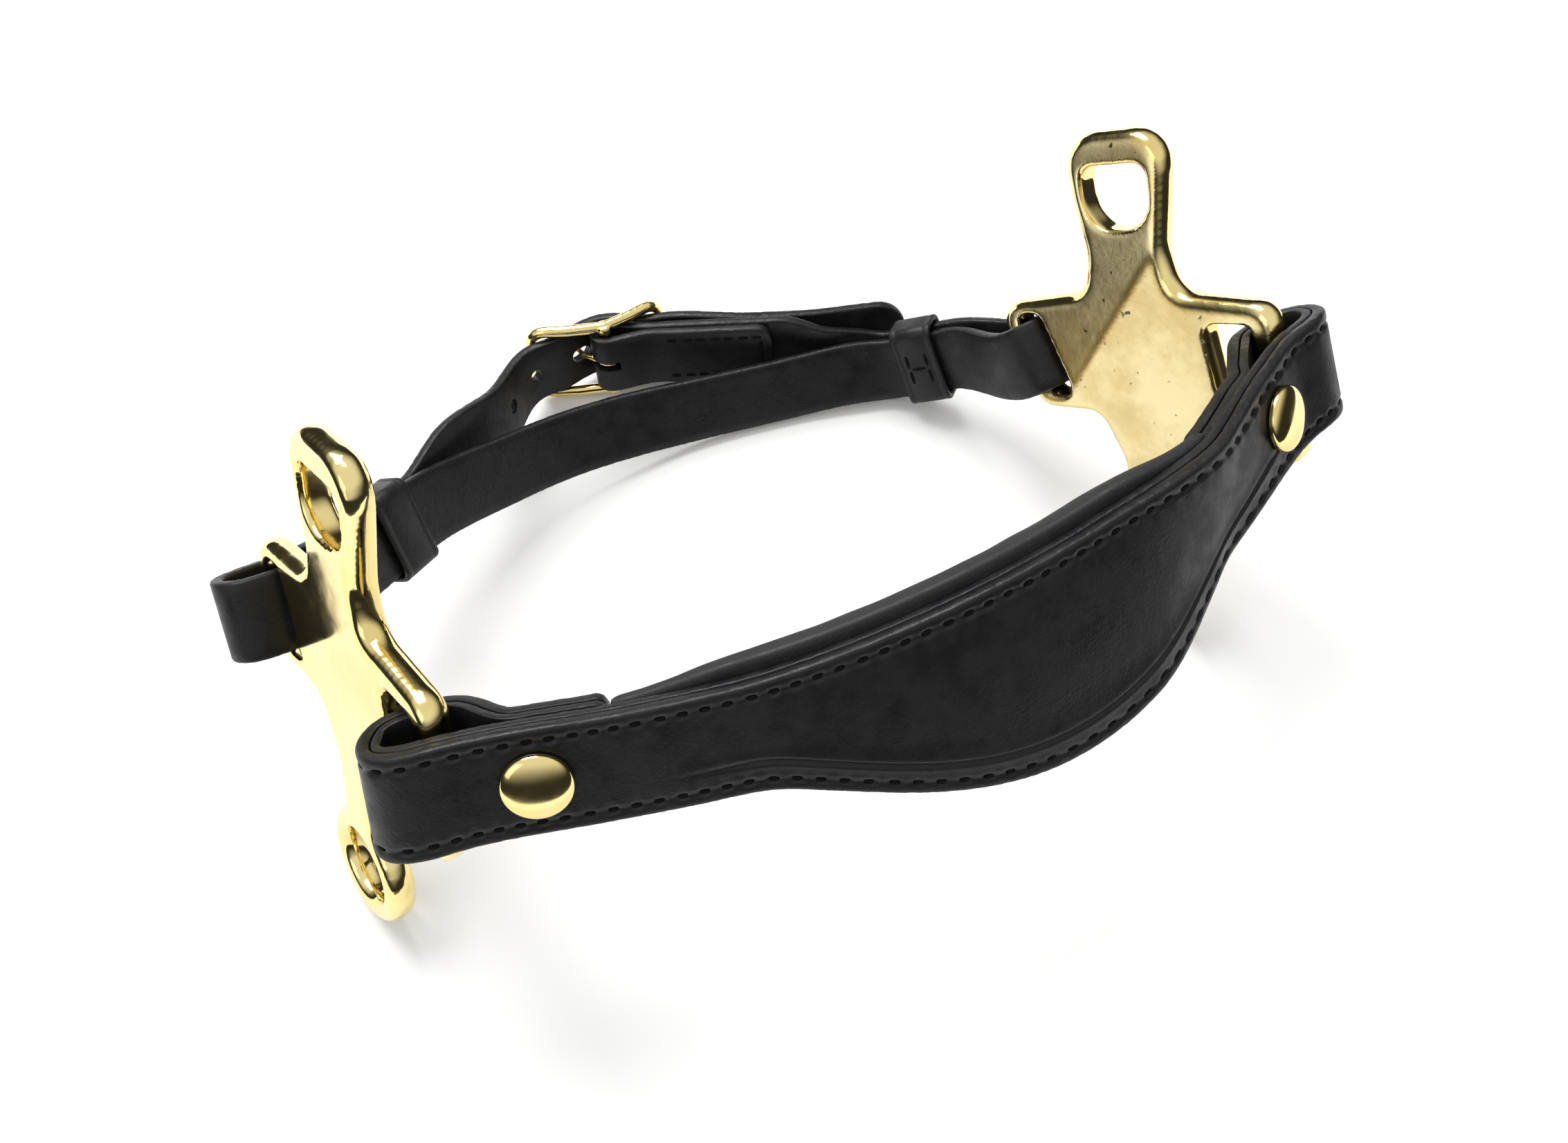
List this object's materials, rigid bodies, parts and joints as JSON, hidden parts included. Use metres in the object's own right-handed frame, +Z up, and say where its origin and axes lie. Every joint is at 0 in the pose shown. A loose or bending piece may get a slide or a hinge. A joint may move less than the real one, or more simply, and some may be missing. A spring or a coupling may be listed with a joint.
{
  "type": "hackamore",
  "caption": "Bitless hackamore: two cross-shaped brass cheek plates, a padded leather noseband riveted round their front bars and a buckled leather chin strap.",
  "frame": {"origin": "middle of the footprint on the table", "axes": "+X from the wearer's near-side plate (left in the picture) to the other plate, -Y towards the noseband's front and +Z up from the table"},
  "size_m": [0.2698, 0.187, 0.1195],
  "materials": {
    "left_cheek_plate": "polished cast brass",
    "right_cheek_plate": "polished cast brass, duller on the inner face",
    "noseband_front_leather": "smooth black harness leather",
    "noseband_backing_leather": "black leather",
    "noseband_padding": "dark foam",
    "noseband_lining": "soft black leather",
    "noseband_upper_stitching": "black waxed thread",
    "noseband_lower_stitching": "black waxed thread",
    "left_rivet_cap": "polished brass",
    "left_rivet_post": "polished brass",
    "right_rivet_cap": "polished brass",
    "right_rivet_post": "polished brass",
    "chin_strap": "smooth black harness leather",
    "chin_strap_fold_stitching": "black waxed thread",
    "buckle_frame": "polished brass",
    "buckle_tongue": "polished brass",
    "right_keeper": "black leather",
    "right_keeper_stitch": "black waxed thread",
    "left_keeper": "black leather",
    "left_keeper_stitch": "black waxed thread"
  },
  "bodies": {
    "noseband": {"noseband_front_leather": "noseband_front_leather", "noseband_backing_leather": "noseband_backing_leather", "noseband_padding": "noseband_padding", "noseband_lining": "noseband_lining", "noseband_upper_stitching": "noseband_upper_stitching", "noseband_lower_stitching": "noseband_lower_stitching", "left_rivet_cap": "left_rivet_cap", "left_rivet_post": "left_rivet_post", "right_rivet_cap": "right_rivet_cap", "right_rivet_post": "right_rivet_post"},
    "left_plate": {"left_cheek_plate": "left_cheek_plate"},
    "right_plate": {"right_cheek_plate": "right_cheek_plate"},
    "chin": {"chin_strap": "chin_strap", "chin_strap_fold_stitching": "chin_strap_fold_stitching"},
    "buckle": {"buckle_frame": "buckle_frame"},
    "tongue": {"buckle_tongue": "buckle_tongue"},
    "right_loop": {"right_keeper": "right_keeper", "right_keeper_stitch": "right_keeper_stitch"},
    "left_loop": {"left_keeper": "left_keeper", "left_keeper_stitch": "left_keeper_stitch"}
  },
  "joints": [
    {"name": "left_plate_swing", "type": "hinge", "parent": "noseband", "child": "left_plate", "pos_m": [-0.09261, -0.05251, 0.07639], "axis": [0.1967, 0.5939, 0.7801], "range_deg": [-2, 1]},
    {"name": "right_plate_swing", "type": "hinge", "parent": "noseband", "child": "right_plate", "pos_m": [0.12069, -0.03038, 0.08147], "axis": [-0.0741, 0.7678, 0.6364], "range_deg": [-1.8, 0.9]},
    {"name": "chin_strap_swing", "type": "hinge", "parent": "left_plate", "child": "chin", "pos_m": [-0.11952, 0.01349, 0.05353], "axis": [0.1146, 0.7304, 0.6734], "range_deg": [-0.9, 1.8]},
    {"name": "buckle_tilt", "type": "hinge", "parent": "chin", "child": "buckle", "pos_m": [-0.02096, 0.08225, 0.01448], "axis": [0.0396, 0.2233, 0.9739], "range_deg": [-1.5, 0]},
    {"name": "tongue_lift", "type": "hinge", "parent": "buckle", "child": "tongue", "pos_m": [-0.02096, 0.08225, 0.01448], "axis": [-0.0396, -0.2233, -0.9739], "range_deg": [0, 10]},
    {"name": "right_keeper_slide", "type": "slide", "parent": "chin", "child": "right_loop", "axis": [-0.7493, 0.4527, -0.4833], "range_m": [-0.004, 0.004]},
    {"name": "left_keeper_slide", "type": "slide", "parent": "chin", "child": "left_loop", "axis": [0.679, 0.6013, -0.4212], "range_m": [-0.004, 0.004]}
  ],
  "couplings": [
    {"joint": "right_plate_swing", "follows": "left_plate_swing", "ratio": 0.8788},
    {"joint": "chin_strap_swing", "follows": "left_plate_swing", "ratio": -0.8909}
  ]
}
